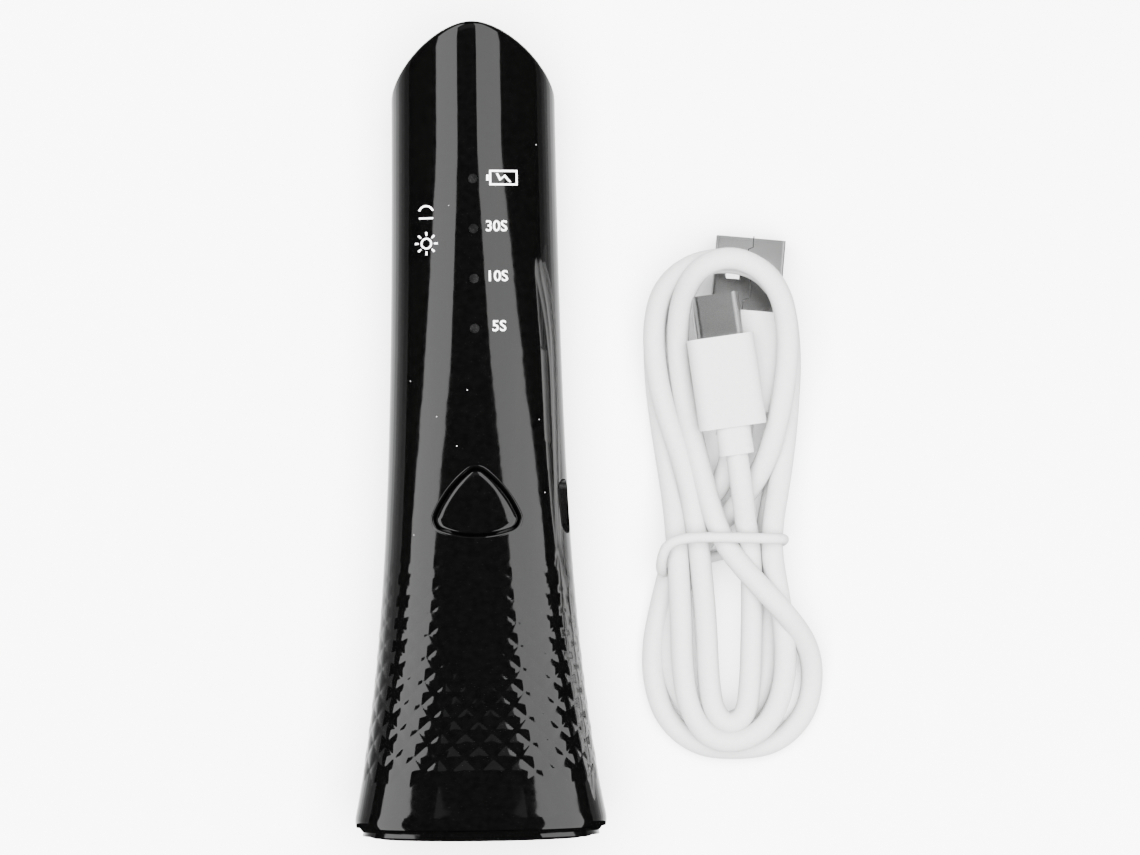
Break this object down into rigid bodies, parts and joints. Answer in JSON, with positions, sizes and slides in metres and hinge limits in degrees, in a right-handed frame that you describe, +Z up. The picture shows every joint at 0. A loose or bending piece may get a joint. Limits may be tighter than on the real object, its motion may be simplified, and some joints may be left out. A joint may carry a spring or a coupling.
{
  "type": "uv led nail lamp",
  "caption": "Handheld rechargeable UV LED nail-curing lamp with an oblique head, push button, charging port and a tied charging cable.",
  "frame": {"origin": "middle of the lamp's length and width, on the surface that its ground back lies on", "axes": "+Y along the lamp to the tip, +Z up through the front with the button, +X to the side with the charging port"},
  "size_m": [0.081, 0.1402, 0.0311],
  "materials": {
    "black_gloss": "piano-black gloss",
    "black_satin": "satin",
    "soft_pad": "matte foam",
    "screw_steel": "zinc plated",
    "clear_lens": "clear",
    "smoked_pipe": "smoked clear",
    "mirror_finish": "vacuum metallised",
    "led_board_white": "white solder mask",
    "aluminium": "as extruded",
    "led_emitter": "silicone dome",
    "plug_steel": "satin nickel",
    "board_green": "solder mask",
    "chip_black": "moulded",
    "white_plastic": "moulded",
    "gold_contact": "gold plated",
    "cell_wrap": "shrink wrap",
    "lead_red": "wire",
    "lead_black": "wire",
    "white_cable": "smooth TPE"
  },
  "bodies": {
    "root": {"front_shell": "black_gloss", "rear_shell": "black_gloss", "base_cap": "black_gloss", "base_pad": "soft_pad", "battery_pad_low": "soft_pad", "battery_pad_high": "soft_pad", "base_screws": "screw_steel", "shell_screws": "screw_steel", "board_screws": "screw_steel", "head_bezel": "black_satin", "light_pipe_bar": "black_satin", "tact_switch_body": "black_satin", "usb_c_receptacle_tongue": "black_satin", "lens_window": "clear_lens", "light_pipes": "smoked_pipe", "reflector": "mirror_finish", "led_board": "led_board_white", "heat_spreader": "aluminium", "uv_leds": "led_emitter", "indicator_leds": "led_emitter", "switch_cover": "plug_steel", "usb_c_receptacle_shell": "plug_steel", "main_board": "board_green", "controller_chip": "chip_black", "charge_chip": "chip_black", "boost_inductor": "chip_black", "board_resistors": "chip_black", "board_capacitors": "aluminium", "battery_socket": "white_plastic", "led_socket": "white_plastic", "battery_cell": "cell_wrap", "battery_plus_cap": "screw_steel", "battery_lead_red": "lead_red", "led_lead_red": "lead_red", "battery_lead_black": "lead_black", "led_lead_black": "lead_black"},
    "button": {"button_cap": "black_gloss"},
    "stem": {"switch_stem": "black_satin"},
    "charging_cable": {"cable_hank": "white_cable", "cable_tie": "white_cable", "cable_lead_c": "white_cable", "cable_lead_a": "white_cable", "usb_c_collar": "white_cable", "usb_c_overmold": "white_cable", "usb_c_plug_shell": "plug_steel", "usb_c_plug_core": "black_satin", "usb_a_collar": "white_cable", "usb_a_overmold": "white_cable", "usb_a_shell": "plug_steel", "usb_a_core": "white_plastic", "usb_a_contacts": "gold_contact"}
  },
  "joints": [
    {"name": "button_press", "type": "slide", "parent": "root", "child": "button", "axis": [0, 0, -1], "range_m": [0, 0.0004], "stiffness_N_per_m": 900, "springref_m": -0.0016},
    {"name": "stem_press", "type": "slide", "parent": "root", "child": "stem", "axis": [0, 0, -1], "range_m": [0, 0.0004]},
    {"name": "cable_lift", "type": "slide", "parent": "root", "child": "charging_cable", "axis": [0, 0, 1], "range_m": [0, 0.05]}
  ],
  "couplings": [
    {"joint": "stem_press", "follows": "button_press", "ratio": 1}
  ]
}
